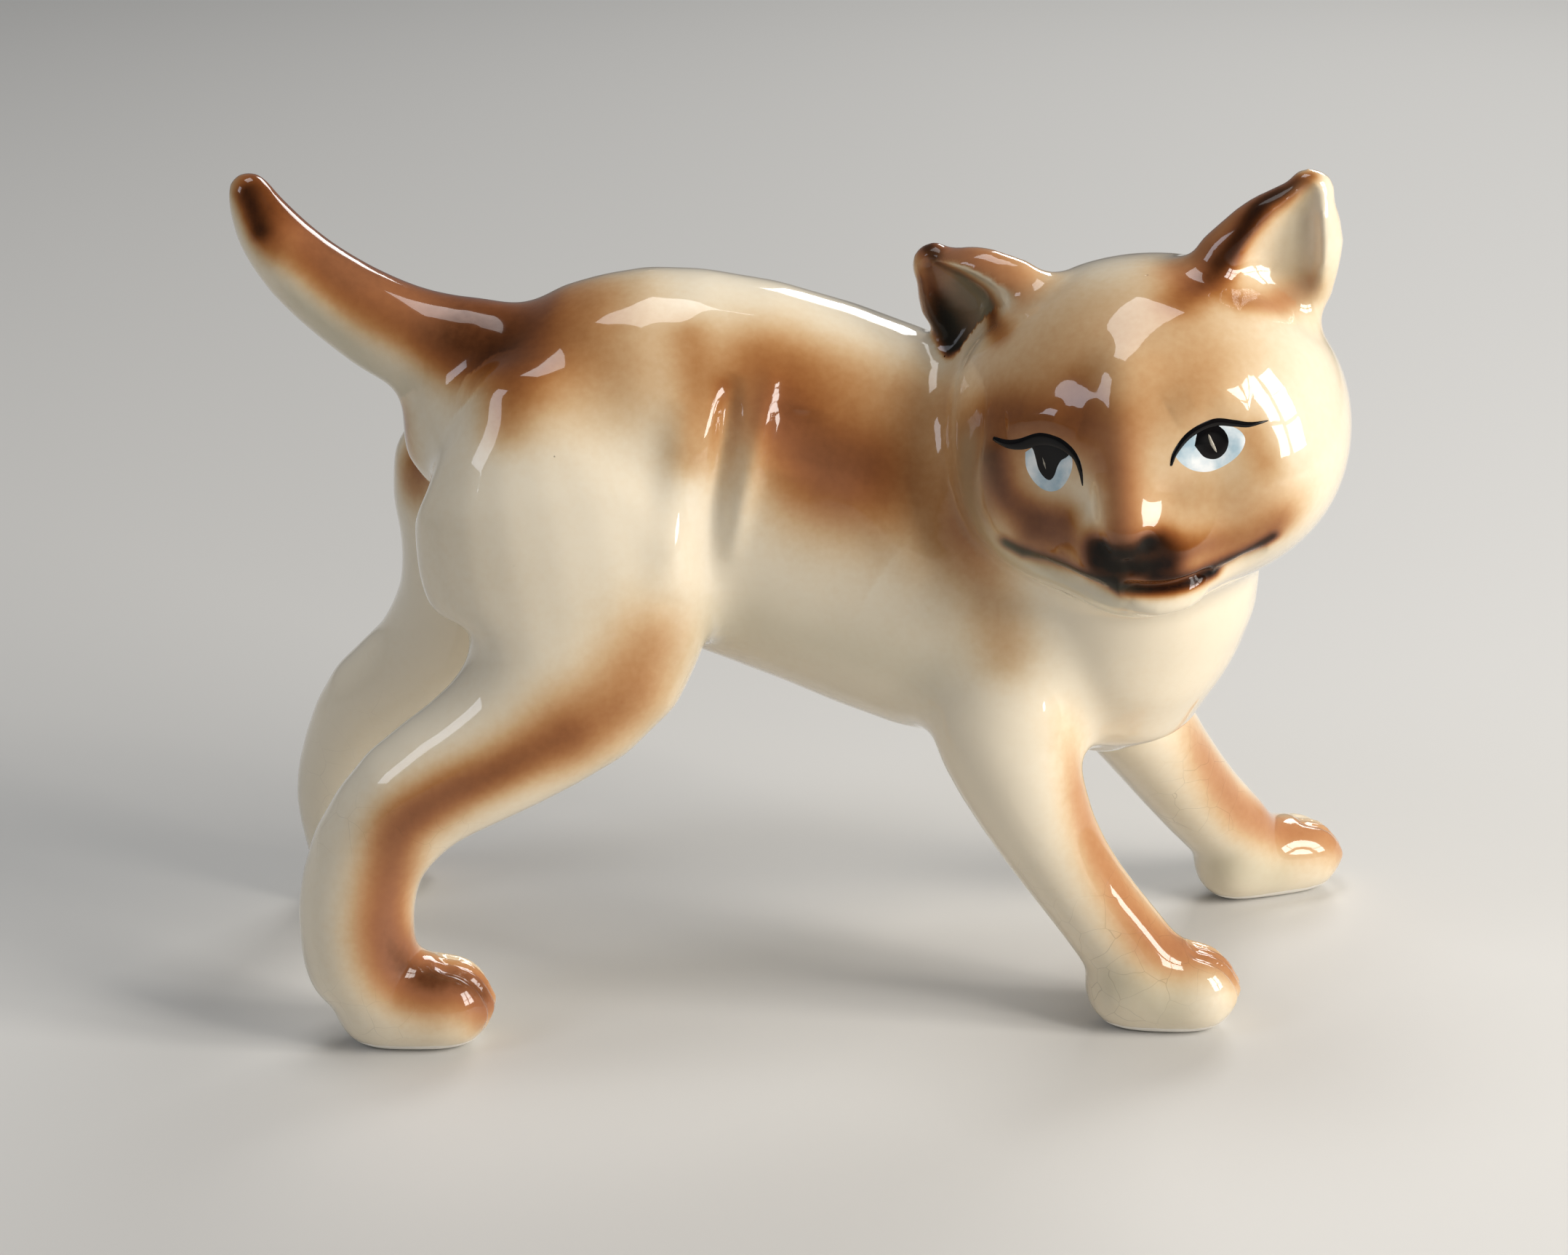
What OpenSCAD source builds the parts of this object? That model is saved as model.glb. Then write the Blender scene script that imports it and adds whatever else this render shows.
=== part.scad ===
// Glazed ceramic kitten, standing, with its head turned to its right.
// It is slip-cast in sections that are luted together with slip before the glaze firing.
// +X is the way the body faces, +Y is the kitten's left and +Z is up. The paws stand on z = 0.

/* [Casting] */
// Thickness of the cast wall of the torso and the head
wall = 3.5; // [2.5:0.5:4.5]
// Radius of the vent hole under the belly
vent_r = 2; // [1:0.25:3]

/* [Head] */
// Turn of the head to the kitten's right, from straight ahead
head_turn = 103; // [95:1:112]
// Lean of the head, left side up
head_lean = 10; // [4:1:13]
// Nod of the head, nose down
head_nod = 0; // [-4:1:8]
// Width of the head across the cheeks
head_w = 57; // [52:1:60]
// How much higher the left ear's tip is set than the ears' middle height, and the right one's lower
ear_rise = 2; // [0:0.5:3]

/* [Surface] */
// Sides of a limb's ring
limb_sides = 20; // [16:4:20]
// Rings between two stations of a limb
limb_steps = 2; // [2:1:3]

/* [Hidden] */

cream = [0.93, 0.87, 0.76];
caramel = [0.72, 0.45, 0.22];

// Moves the modelled kitten so that the middle of its box stands over the origin.
centre_shift = [-5, 0.4, 0];

// ---------------------------------------------------------------- lofts

// A point between stations p1 and p2 on a smooth curve through all four.
function between(p0, p1, p2, p3, t) =
    0.5 * (2 * p1 + (p2 - p0) * t + (2 * p0 - 5 * p1 + 4 * p2 - p3) * t * t
           + (3 * p1 - p0 - 3 * p2 + p3) * t * t * t);

// All stations with steps - 1 smooth ones between each two.
function smooth(s, steps) = let (last = len(s) - 1) [
    for (i = [0 : last - 1], k = [0 : steps - 1])
        between(s[max(i - 1, 0)], s[i], s[i + 1], s[min(i + 2, last)], k / steps),
    s[last]
];

function unit(v) = v / norm(v);
function place(s) = [s[0], s[1], s[2]];

// The path's direction at station i.
function heading(s, i) = unit(place(s[min(i + 1, len(s) - 1)]) - place(s[max(i - 1, 0)]));

// One elliptical ring. Station s is [x, y, z, half-height, half-width]; the width lies along across.
function ring(s, along, across, sides) =
    let (wide = unit(across - (across * along) * along), high = cross(along, wide))
    [for (k = [0 : sides - 1])
        place(s) + s[3] * cos(360 * k / sides) * high + s[4] * sin(360 * k / sides) * wide];

// The rings that round an end off, from its last full ring outwards. Way is 1 at the far end and -1 at the near one.
function dome(s, along, way) = [
    for (a = [30, 60, 82])
        [each place(s) + way * sin(a) * min(s[3], s[4]) * along, s[3] * cos(a), s[4] * cos(a)]
];

// A closed limb with round ends through its stations.
module limb(stations, across = [0, 1, 0], sides = limb_sides, steps = limb_steps) {
    s = smooth(stations, steps);
    last = len(s) - 1;
    near = dome(s[0], heading(s, 0), -1);
    far = dome(s[last], heading(s, last), 1);
    rings = [
        for (i = [2 : -1 : 0]) ring(near[i], heading(s, 0), across, sides),
        for (i = [0 : last]) ring(s[i], heading(s, i), across, sides),
        for (i = [0 : 2]) ring(far[i], heading(s, last), across, sides)
    ];
    skin(rings);
}

// A closed solid through a list of rings that all have the same number of points.
module skin(rings) {
    n = len(rings[0]);
    m = len(rings);
    polyhedron(
        points = [for (r = rings) each r],
        faces = [
            [for (k = [n - 1 : -1 : 0]) k],
            for (i = [0 : m - 2], k = [0 : n - 1])
                each [[i * n + k, i * n + (k + 1) % n, (i + 1) * n + k],
                      [i * n + (k + 1) % n, (i + 1) * n + (k + 1) % n, (i + 1) * n + k]],
            [for (k = [0 : n - 1]) (m - 1) * n + k]
        ],
        convexity = 6);
}

// Cuts and joins its children as one modelled surface.
module modelled() {
    resize([0, 0, 0]) children();
}

// ---------------------------------------------------------------- torso

// Distance of the vent from the middle of the kitten
vent_x = -6;

// From the rump to the breast: [x, y, z, half-height, half-width].
body_line = [
    [-43, 0, 87, 13, 12],
    [-36, 0, 86, 20.5, 17],
    [-24, 0, 83.5, 26, 20.5],
    [-8, 0, 80.5, 27.5, 20.5],
    [10, 0, 74, 28, 20.5],
    [27, 0, 66.5, 27.5, 21.5],
    [41, -0.5, 61, 23.5, 20.5],
    [51, -1, 58.5, 17, 15.5]
];

// From the breast up into the head.
neck_line = [
    [47, -2, 56, 18.5, 18.5],
    [48.5, -4, 64, 20, 19],
    [48.5, -7, 74, 19.5, 19],
    [49.5, -10, 81, 16.5, 16.5]
];

module body_form() {
    limb(body_line, sides = 30);
    limb(neck_line, sides = 26);
}

// Stations drawn in by the thickness of a wall.
function inset(s, by) = [for (p = s) [p[0], p[1], p[2], p[3] - by, p[4] - by]];

// The cast is hollow. The slip was poured and drained through the open neck, and a vent under the
// belly lets the air out in the kiln.
module torso() {
    color(cream) modelled() difference() {
        body_form();
        limb(inset(body_line, wall), sides = 12, steps = 1);
        limb(inset(neck_line, wall), sides = 12, steps = 1);
        head_hollow();
        translate([vent_x, 0, 30]) cylinder(h = 40, r = vent_r, $fn = 16);
    }
}

// ---------------------------------------------------------------- head

head_at = [50.5, -13, 90];
head_deep = 25;
head_high = 24;
// Height of the neck's rim, inside the head
neck_rim = 83;

// Swellings and hollows of the face: [degrees to the side, degrees up, height, spread in degrees].
middle_swells = [
    [0, -14, 2.2, 9],
    [0, -32, 3.2, 9],
    [0, -52, 2.2, 11]
];
paired_swells = [
    [13, -40, 2.6, 9],
    [27, -10, -1.6, 10],
    [52, -24, 2.2, 20]
];

function facing(side, up) = [cos(up) * cos(side), cos(up) * sin(side), sin(up)];
function swell(d, s) =
    let (off = acos(max(-1, min(1, d * facing(s[0], s[1]))))) s[2] * exp(-off * off / (2 * s[3] * s[3]));
function mirrored(s) = [-s[0], s[1], s[2], s[3]];
function sum(v, i = 0) = i < len(v) ? v[i] + sum(v, i + 1) : 0;
function rise(d) =
    sum([for (s = middle_swells) swell(d, s)])
    + sum([for (s = paired_swells) swell(d, s) + swell(d, mirrored(s))]);
function head_point(side, up) =
    let (d = facing(side, up), r = rise(d))
    [(head_deep + r) * d[0], (head_w / 2 + r) * d[1], (head_high + r) * d[2]];

module head_form(rings = 22, sides = 40) {
    skin([for (i = [1 : rings])
        [for (k = [0 : sides - 1]) head_point(-360 * k / sides, -90 + 180 * (i - 0.5) / rings)]]);
}

// The hollow inside the skull. It ends below at the neck's rim.
module head_hollow() {
    intersection() {
        on_head() scale([head_deep - wall, head_w / 2 - wall, head_high - wall]) sphere(r = 1, $fn = 24);
        translate([head_at[0] - 40, head_at[1] - 40, neck_rim]) cube([80, 80, 60]);
    }
}

module on_head() {
    translate(head_at) rotate([head_lean, head_nod, -head_turn]) children();
}

module head() {
    color(cream) modelled() difference() {
        on_head() head_form();
        body_form();
        head_hollow();
    }
}

// ---------------------------------------------------------------- ears

// The left ear in the head's own frame, from inside the skull to the tip.
ear_line = [
    [-1, 14, 13.5, 5.5, 10.8],
    [-1, 18, 17.5, 5.5, 10.8],
    [-1, 21.4, 21.1, 5, 9.4],
    [-1.5, 24.6, 24.8, 4.2, 7.2],
    [-2, 26.8, 28, 2.8, 3.4]
];
ear_across = [-0.35, 0.75, -0.56];

// The hollow of the ear opens forwards and outwards.
hollow_line = [
    [4, 18, 13.5, 2.5, 3.5],
    [4.6, 20.5, 17, 5, 7],
    [4.2, 23, 21.5, 4.8, 6.6],
    [3, 25.6, 25.5, 4, 4],
    [1.6, 27, 28, 2.4, 1.8]
];

// Stations lifted towards the tip by rise in all.
function lifted(s, rise) = [
    for (i = [0 : len(s) - 1]) [s[i][0], s[i][1], s[i][2] + rise * i / (len(s) - 1), s[i][3], s[i][4]]
];

module ear(rise) {
    difference() {
        limb(lifted(ear_line, rise), across = ear_across, sides = 16);
        limb(lifted(hollow_line, rise), across = ear_across, sides = 12);
    }
}

module left_ear() {
    color(caramel) modelled() difference() {
        on_head() ear(ear_rise);
        on_head() head_form();
    }
}

module right_ear() {
    color(caramel) modelled() difference() {
        on_head() mirror([0, 1, 0]) ear(-ear_rise);
        on_head() head_form();
    }
}

// ---------------------------------------------------------------- tail

tail_line = [
    [-36, 0, 93.5, 9, 9],
    [-41, 0.5, 95, 9.5, 9],
    [-48, 1, 96.5, 8.6, 8.2],
    [-55, 2, 99.2, 7.4, 7.2],
    [-62.5, 3, 103.5, 6.4, 6.3],
    [-69, 3.5, 108.7, 5.6, 5.6],
    [-73.5, 4, 114.3, 4.6, 4.6],
    [-75.6, 4, 119, 3.2, 3.2]
];

module tail() {
    color(caramel) modelled() difference() {
        limb(tail_line);
        body_form();
    }
}

// ---------------------------------------------------------------- legs

right_fore_line = [
    [29, -9, 66, 9, 8],
    [30, -12, 57.5, 12, 9],
    [31.5, -15, 48, 11.5, 9],
    [34, -16.8, 39, 9.3, 8.4],
    [38, -17.4, 30, 7.4, 7.4],
    [43.3, -17.8, 21.5, 6.6, 6.8],
    [48.8, -18, 14, 6.8, 6.8],
    [53, -18, 8.5, 7, 7]
];
right_fore_paw = [
    [50.5, -18, 6.6, 6.6, 6.6],
    [56, -18, 6.3, 6.6, 7.2],
    [60.5, -18, 6.2, 6.3, 7.4]
];
left_fore_line = [
    [34, 8, 60, 10, 8],
    [43, 10, 50, 10, 8.8],
    [51.5, 12.5, 39, 8.6, 8.4],
    [58.5, 18, 28, 7.5, 7.5],
    [65, 23, 18.3, 7, 7],
    [71.5, 27, 10.5, 6.8, 6.8]
];
left_fore_paw = [
    [71, 27, 6.8, 6.4, 6.6],
    [77.5, 30, 6.2, 6.4, 6.8],
    [83, 32, 5.9, 6, 6.6]
];
right_hind_line = [
    [-34, -11, 92.5, 12, 8],
    [-32, -14, 80, 20.5, 11],
    [-29.5, -16.5, 67, 21, 11.5],
    [-30.5, -18.5, 56.5, 16.5, 11],
    [-37, -20.5, 48.5, 12, 10],
    [-45, -22, 43, 10, 9],
    [-53, -23, 37.8, 9.1, 8.2],
    [-59.3, -23.6, 29.5, 8.4, 7.8],
    [-61.4, -24, 20.5, 8.4, 7.8],
    [-61, -24, 12.8, 8.4, 7.8]
];
right_hind_paw = [
    [-58.5, -23.5, 7, 7.2, 7.4],
    [-53.5, -23.5, 6.6, 6.9, 7.6],
    [-48.5, -23.5, 6.5, 6.6, 7.6]
];
left_hind_line = [
    [-38, 10, 88.5, 12, 8],
    [-41, 13, 75.5, 17, 11],
    [-43, 15, 62.5, 15, 11],
    [-48, 17.5, 51, 11.5, 10],
    [-55, 20, 42, 9.4, 9],
    [-63, 22, 35.5, 8, 8],
    [-67.5, 23.5, 27, 7.2, 7.2],
    [-69.5, 25, 18, 7, 7],
    [-68.5, 26, 10, 6.8, 6.8]
];
left_hind_paw = [
    [-68.5, 26.5, 6.6, 6.6, 6.6],
    [-65.5, 29.5, 6.3, 6.4, 6.8],
    [-63, 32.5, 6, 6.2, 6.6]
];

module leg(line, paw) {
    color(cream) modelled() difference() {
        union() {
            limb(line);
            limb(paw);
        }
        body_form();
        translate([-150, -150, -20]) cube([300, 300, 20]);
    }
}

module right_foreleg() { leg(right_fore_line, right_fore_paw); }
module left_foreleg() { leg(left_fore_line, left_fore_paw); }
module right_hind_leg() { leg(right_hind_line, right_hind_paw); }
module left_hind_leg() { leg(left_hind_line, left_hind_paw); }

// ---------------------------------------------------------------- nodes

translate(centre_shift) torso();
translate(centre_shift) head();
translate(centre_shift) right_ear();
translate(centre_shift) left_ear();
translate(centre_shift) tail();
translate(centre_shift) right_foreleg();
translate(centre_shift) left_foreleg();
translate(centre_shift) right_hind_leg();
translate(centre_shift) left_hind_leg();
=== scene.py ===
import math

import bmesh
import bpy
import numpy as np
from mathutils import Euler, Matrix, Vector
from mathutils.bvhtree import BVHTree


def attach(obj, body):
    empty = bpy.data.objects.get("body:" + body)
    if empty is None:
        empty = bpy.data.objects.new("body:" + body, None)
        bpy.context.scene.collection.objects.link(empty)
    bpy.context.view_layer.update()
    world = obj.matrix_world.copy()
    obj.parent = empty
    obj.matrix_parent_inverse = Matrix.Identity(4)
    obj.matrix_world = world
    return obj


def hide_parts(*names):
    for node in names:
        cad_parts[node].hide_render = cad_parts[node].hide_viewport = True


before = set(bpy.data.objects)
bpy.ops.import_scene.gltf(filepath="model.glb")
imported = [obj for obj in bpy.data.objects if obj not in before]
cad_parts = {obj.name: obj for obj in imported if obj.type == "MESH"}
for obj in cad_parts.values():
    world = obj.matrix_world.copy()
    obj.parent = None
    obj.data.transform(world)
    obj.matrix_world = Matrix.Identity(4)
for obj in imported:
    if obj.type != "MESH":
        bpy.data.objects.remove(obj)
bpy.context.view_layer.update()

MM = 0.001
node_names = ["torso", "head", "right_ear", "left_ear", "tail", "right_foreleg",
              "left_foreleg", "right_hind_leg", "left_hind_leg"]


# ---------------------------------------------------------------- camera
# A short telephoto lens looks a little down on the kitten's right side, from about half a metre away. It is level,
# and turned twenty degrees below the horizon.
bpy.ops.object.camera_add(location=(-5.0 * MM, -488.24 * MM, 233.05 * MM), rotation=(math.radians(70), 0, 0))
camera = bpy.context.object
camera.name = "camera"
camera.data.sensor_fit = "HORIZONTAL"
camera.data.sensor_width = 36
camera.data.lens = 81.43
camera.data.clip_start = 0.01
bpy.context.scene.camera = camera


# ---------------------------------------------------------------- the cast body
# The kitten is slip-cast in nine sections of white earthenware, luted together with wet slip. Sponging the joints
# before the glaze goes on leaves one skin with soft fillets, so the sections are joined, skinned and sponged here.
grain = 0.6             # spacing of the skin's points, mm

clay = bmesh.new()
flat_points, flat_faces, face_owner = [], [], []
for number, name in enumerate(node_names):
    section = bmesh.new()
    section.from_mesh(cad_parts[name].data)
    bmesh.ops.remove_doubles(section, verts=section.verts, dist=1e-6)
    section.verts.ensure_lookup_table()
    first = len(flat_points)
    flat_points += [vertex.co.copy() for vertex in section.verts]
    flat_faces += [tuple(first + vertex.index for vertex in face.verts) for face in section.faces]
    face_owner += [number] * len(section.faces)
    loose = bpy.data.meshes.new("section")
    section.to_mesh(loose)
    clay.from_mesh(loose)
    section.free()
    bpy.data.meshes.remove(loose)
sections_tree = BVHTree.FromPolygons(flat_points, flat_faces)
face_owner = np.array(face_owner)

# The vent under the belly is stopped a little way in, so that the skin doesn't follow it into the hollow.
vent_x, vent_y, vent_radius = -11.0, 0.4, 3.2
plug_depth, plug_recess = 7, 2.0
under = sections_tree.ray_cast(Vector((vent_x * MM, (vent_y + vent_radius) * MM, 0)), Vector((0, 0, 1)))[0].z
plug = bmesh.ops.create_cone(clay, cap_ends=True, segments=32, radius1=vent_radius * MM, radius2=vent_radius * MM,
                             depth=plug_depth * MM)
bmesh.ops.translate(clay, verts=plug["verts"],
                    vec=(vent_x * MM, vent_y * MM, under + (plug_recess + plug_depth / 2) * MM))

skin_mesh = bpy.data.meshes.new("kitten_skin")
clay.to_mesh(skin_mesh)
clay.free()
skin = bpy.data.objects.new("kitten_skin", skin_mesh)
bpy.context.collection.objects.link(skin)
bpy.ops.object.select_all(action="DESELECT")
skin.select_set(True)
bpy.context.view_layer.objects.active = skin
skin_mesh.remesh_voxel_size = grain * MM
bpy.ops.object.voxel_remesh()
bpy.ops.object.mode_set(mode="EDIT")
bpy.ops.mesh.select_all(action="SELECT")
bpy.ops.mesh.separate(type="LOOSE")
bpy.ops.object.mode_set(mode="OBJECT")
shells = sorted(bpy.context.selected_objects, key=lambda shell: len(shell.data.vertices))
skin = shells.pop()
for shell in shells:
    bpy.data.objects.remove(shell)
skin.name = "kitten_skin"
bpy.context.view_layer.objects.active = skin


def read_points():
    """The skin's points, in mm."""
    values = np.empty(len(skin.data.vertices) * 3, np.float32)
    skin.data.vertices.foreach_get("co", values)
    return values.reshape(-1, 3) / np.float32(MM)


def write_points(points):
    """Puts the points, in mm, back into the skin."""
    skin.data.vertices.foreach_set("co", (points * MM).astype(np.float32).ravel())
    skin.data.update()


def read_normals():
    """The skin's way out at each point."""
    values = np.empty(len(skin.data.vertices) * 3, np.float32)
    skin.data.vertex_normals.foreach_get("vector", values)
    return values.reshape(-1, 3)


def weave():
    """The table of each point's neighbours, padded with the point itself."""
    pairs = np.empty(len(skin.data.edges) * 2, np.int64)
    skin.data.edges.foreach_get("vertices", pairs)
    pairs = pairs.reshape(-1, 2)
    pairs = np.concatenate([pairs, pairs[:, ::-1]])
    pairs = pairs[np.argsort(pairs[:, 0], kind="stable")]
    count = len(skin.data.vertices)
    start = np.searchsorted(pairs[:, 0], np.arange(count + 1))
    valence = np.diff(start)
    table = np.repeat(np.arange(count)[:, None], valence.max(), axis=1)
    table[pairs[:, 0], np.arange(len(pairs)) - start[pairs[:, 0]]] = pairs[:, 1]
    return table, valence.astype(np.float32)


def sponge(values, passes, share, rows=None):
    """Moves each value part of the way to its neighbours' mean, again and again."""
    rows = np.arange(len(values)) if rows is None else rows
    near, many = table[rows], valence[rows][:, None]
    spare = table.shape[1] - many
    share = np.broadcast_to(np.asarray(share, np.float32).reshape(-1, 1), (len(rows), 1))
    values = values.copy()
    for _ in range(passes):
        here = values[rows]
        mean = (values[near].sum(axis=1) - spare * here) / many
        values[rows] = here + share * (mean - here)
    return values


def even(points, passes, share):
    """Sponges without shrinking: what one round takes off, a second round puts back."""
    soft = sponge(points, passes, share)
    return soft + sponge(points - soft, passes, share)


table, valence = weave()
points = read_points()
owner = np.array([face_owner[sections_tree.find_nearest(Vector(p * MM))[2]] for p in points.astype(float)])
vote = np.zeros((len(points), len(node_names)), np.float32)
vote[np.arange(len(points)), owner] = 1
owner = sponge(vote, 16, 0.5).argmax(axis=1)
part = {name: owner == number for number, name in enumerate(node_names)}
ears = part["right_ear"] | part["left_ear"]

softness = np.where(ears, 0.16, 0.5).astype(np.float32)
points = even(points, 44, softness)

# A wide fillet is sponged where the legs and the tail join the body, and a tight one at the head and the ears.
def joint_reach(these, those, far=30):
    """How far each point is from where two sections meet, mm, counted from point to point."""
    reach = np.full(len(points), far, np.int32)
    edge = (these & (those[table].any(axis=1))) | (those & (these[table].any(axis=1)))
    reach[edge] = 0
    for _ in range(far):
        reach = np.minimum(reach, reach[table].min(axis=1) + 1)
    return reach * grain


body_side = part["torso"]
limbs = ~(body_side | part["head"] | ears)
limb_joint = joint_reach(body_side, limbs)
head_joint = joint_reach(part["head"], body_side)
ear_joint = joint_reach(part["head"] | body_side, ears)
fillet = np.maximum.reduce([np.exp(-(limb_joint / 6.0) ** 2), 0.9 * np.exp(-(head_joint / 3.2) ** 2),
                            0.85 * np.exp(-(ear_joint / 3.0) ** 2)])
ankle_height = 13
ankles = limbs & ~part["tail"] & (points[:, 2] < ankle_height + 11)
fillet[ankles] = np.maximum(fillet[ankles], 0.3 * np.exp(-((points[ankles, 2] - ankle_height) / 6) ** 2))
rows = np.nonzero(fillet > 0.03)[0]
points = sponge(points, 120, 0.5 * fillet[rows], rows)

# The soles are rubbed flat on a wet board.
height = np.clip((points[:, 2] - 0.5) / 5.0, 0, 1)
points[:, 2] = np.maximum(points[:, 2] - 0.5 * (1 - height * height * (3 - 2 * height)), 0)
write_points(points)


# ---------------------------------------------------------------- modelling and spraying strokes
# After sponging, wooden tools press and raise the features, and an airbrush lays the underglaze colours.
# The face is gone over with finer points first, because its features are small.
head_turn = Euler((math.radians(10), 0, math.radians(-103))).to_matrix()
head_middle = (45.5, -12.6, 90.0)


def face_to_figure(place):
    """From the head's own axes (face +X, left +Y, crown +Z; mm from its middle) to the figure's, mm."""
    turned = head_turn @ Vector(place)
    return np.array((turned.x + head_middle[0], turned.y + head_middle[1], turned.z + head_middle[2]))


def figure_to_face(places):
    return (places - np.array(head_middle)) @ np.array(head_turn)


in_face = figure_to_face(points)
front = part["head"] & (in_face[:, 0] > 9)
skin.data.polygons.foreach_set("select", np.zeros(len(skin.data.polygons), bool))
corner_count = np.empty(len(skin.data.polygons), np.int32)
skin.data.polygons.foreach_get("loop_total", corner_count)
corners = np.empty(len(skin.data.loops), np.int32)
skin.data.loops.foreach_get("vertex_index", corners)
first_corner = np.concatenate([[0], np.cumsum(corner_count)[:-1]])
chosen = np.logical_and.reduceat(front[corners], first_corner)
skin.data.polygons.foreach_set("select", chosen)
edge_points = np.empty(len(skin.data.edges) * 2, np.int32)
skin.data.edges.foreach_get("vertices", edge_points)
skin.data.edges.foreach_set("select", front[edge_points.reshape(-1, 2)].all(axis=1))
skin.data.vertices.foreach_set("select", front)
coarse = len(points)
bpy.ops.object.mode_set(mode="EDIT")
bpy.ops.mesh.select_mode(type="FACE")
bpy.ops.mesh.subdivide(number_cuts=1)
bpy.ops.object.mode_set(mode="OBJECT")
points = read_points()
owner = np.concatenate([owner, np.full(len(points) - coarse, node_names.index("head"))])
part = {name: owner == number for number, name in enumerate(node_names)}
ears = part["right_ear"] | part["left_ear"]
table, valence = weave()
fresh = np.nonzero(figure_to_face(points)[:, 0] * part["head"] > 8)[0]
points = even(points, 3, np.where(np.isin(np.arange(len(points)), fresh), 0.5, 0).astype(np.float32))


def reach(path, rows):
    """How far each point is from a stroke's path, and how far along it, from 0 to 1."""
    best, along = np.full(len(rows), 1e9), np.zeros(len(rows))
    path = np.asarray(path, float)
    if len(path) == 1:
        return np.linalg.norm(points[rows] - path[0], axis=1), along
    lengths = np.linalg.norm(np.diff(path, axis=0), axis=1)
    gone = 0.0
    for start, end, length in zip(path[:-1], path[1:], lengths):
        step = end - start
        t = np.clip((points[rows] - start) @ step / (length * length), 0, 1)
        d = np.linalg.norm(points[rows] - start - t[:, None] * step, axis=1)
        nearer = d < best
        best[nearer] = d[nearer]
        along[nearer] = (gone + t[nearer] * length) / lengths.sum()
        gone += length
    return best, along


def curve(path, steps=6):
    """More places along a path, on a smooth curve through the given ones."""
    path = [np.asarray(place, float) for place in path]
    if len(path) < 3:
        return path
    out = []
    for i in range(len(path) - 1):
        a, b, c, d = path[max(i - 1, 0)], path[i], path[i + 1], path[min(i + 2, len(path) - 1)]
        for k in range(steps):
            t = k / steps
            out.append(0.5 * (2 * b + (c - a) * t + (2 * a - 5 * b + 4 * c - d) * t * t
                              + (3 * b - a - 3 * c + d) * t ** 3))
    return out + [path[-1]]


def level_along(value, along):
    """A stroke's value where it is single, or its values along the path where it is several."""
    return np.interp(along, np.linspace(0, 1, len(value)), value) if isinstance(value, tuple) else value


def patch(path, radius, where, taper=0.0, facing=None):
    """A stroke's rows, its strength there and how far along they lie. The path is laid on the skin first; taper
    fades its ends, and facing keeps it to skin that looks that way."""
    path = [np.array(skin_tree.find_nearest(Vector(place) * MM)[0]) / MM for place in curve(path)]
    widest = max(radius) if isinstance(radius, tuple) else radius
    low, high = np.min(path, axis=0) - 2.6 * widest, np.max(path, axis=0) + 2.6 * widest
    rows = np.nonzero(where & (points > low).all(axis=1) & (points < high).all(axis=1))[0]
    far, along = reach(path, rows)
    strength = np.exp(-(far / level_along(radius, along)) ** 2)
    if taper:
        strength *= np.clip(np.minimum(along, 1 - along) / taper, 0, 1) ** 0.7
    if facing is not None:
        way = np.asarray(facing, float) / np.linalg.norm(facing)
        strength *= np.clip((normals[rows] @ way + 0.1) / 0.45, 0, 1)
    return rows, strength.astype(np.float32), along


def press(path, radius, lift, where=None, taper=0.0, facing=None):
    """Raises the skin by lift mm along its own normal; a negative lift presses it in."""
    rows, strength, along = patch(path, radius, everywhere if where is None else where, taper, facing)
    points[rows] += ((strength * level_along(lift, along))[:, None] * normals[rows]).astype(np.float32)


def spray(layer, path, radius, amount, where=None, taper=0.0, facing=None):
    """Lays colour over what is there, thickest on the path."""
    rows, strength, along = patch(path, radius, everywhere if where is None else where, taper, facing)
    layer[rows] = 1 - (1 - layer[rows]) * (1 - np.clip(level_along(amount, along) * strength, 0, 1))


def wipe(layer, path, radius, amount, where=None, facing=None):
    """Takes colour off again with a damp sponge."""
    rows, strength, _ = patch(path, radius, everywhere if where is None else where, 0, facing)
    layer[rows] *= 1 - np.clip(amount * strength, 0, 1)


everywhere = np.ones(len(points), bool)
write_points(points)
normals = read_normals()
stain = np.zeros(len(points), np.float32)       # caramel at half strength, dark brown at full
rose = np.zeros(len(points), np.float32)        # pinkish tinge of thin brown
pool = np.zeros(len(points), np.float32)        # grey-green: glaze lying thick in hollows, and painted shade on undersides
bare = np.zeros(len(points), np.float32)        # unglazed bisque


before_face = 60        # from where things are dropped onto the face, mm
face_way = Vector(face_to_figure((1, 0, 0)) - face_to_figure((0, 0, 0)))


def on_head(places):
    """Places (left, up) on the face, dropped onto the skin from in front; mm."""
    dropped = []
    for left, up in places:
        start = Vector(face_to_figure((before_face, left, up)))
        hit = skin_tree.ray_cast(start * MM, -face_way)[0]
        dropped.append(np.array(hit) / MM)
    return dropped


def grow_tree():
    """A fresh search tree of the skin as it is now."""
    depsgraph = bpy.context.evaluated_depsgraph_get()
    depsgraph.update()
    return BVHTree.FromObject(skin, depsgraph)


skin_tree = grow_tree()


# ---------------------------------------------------------------- head
# The head is nearly an egg. The muzzle, the nose's ridge, the cheeks and the eye sockets are pressed over it by
# thumb, and the mouth is a tooled slit. Caramel is sprayed on the crown and the bridge, dark brown on the muzzle.
head = part["head"]
press(on_head([(1.5, 13), (1, 6), (0.3, -1), (0, -6)]), (4.5, 3.8, 3.2, 3.2), 1.3, head)
press(on_head([(-0.3, -8.2)]), 3.2, 1.0, head)
press(on_head([(-6, -11.0)]), 5.0, 1.1, head)
press(on_head([(6.2, -11.5)]), 5.2, 1.3, head)
press(on_head([(-5.6, -3)]), 3.0, -0.7, head)
press(on_head([(6.2, -3.6)]), 3.0, -0.6, head)
press(on_head([(-10.5, 1.5)]), 4.8, -1.1, head)
press(on_head([(12, 2)]), 5.2, -0.9, head)
press(on_head([(-16, -5)]), 6.5, 0.7, head)
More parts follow.
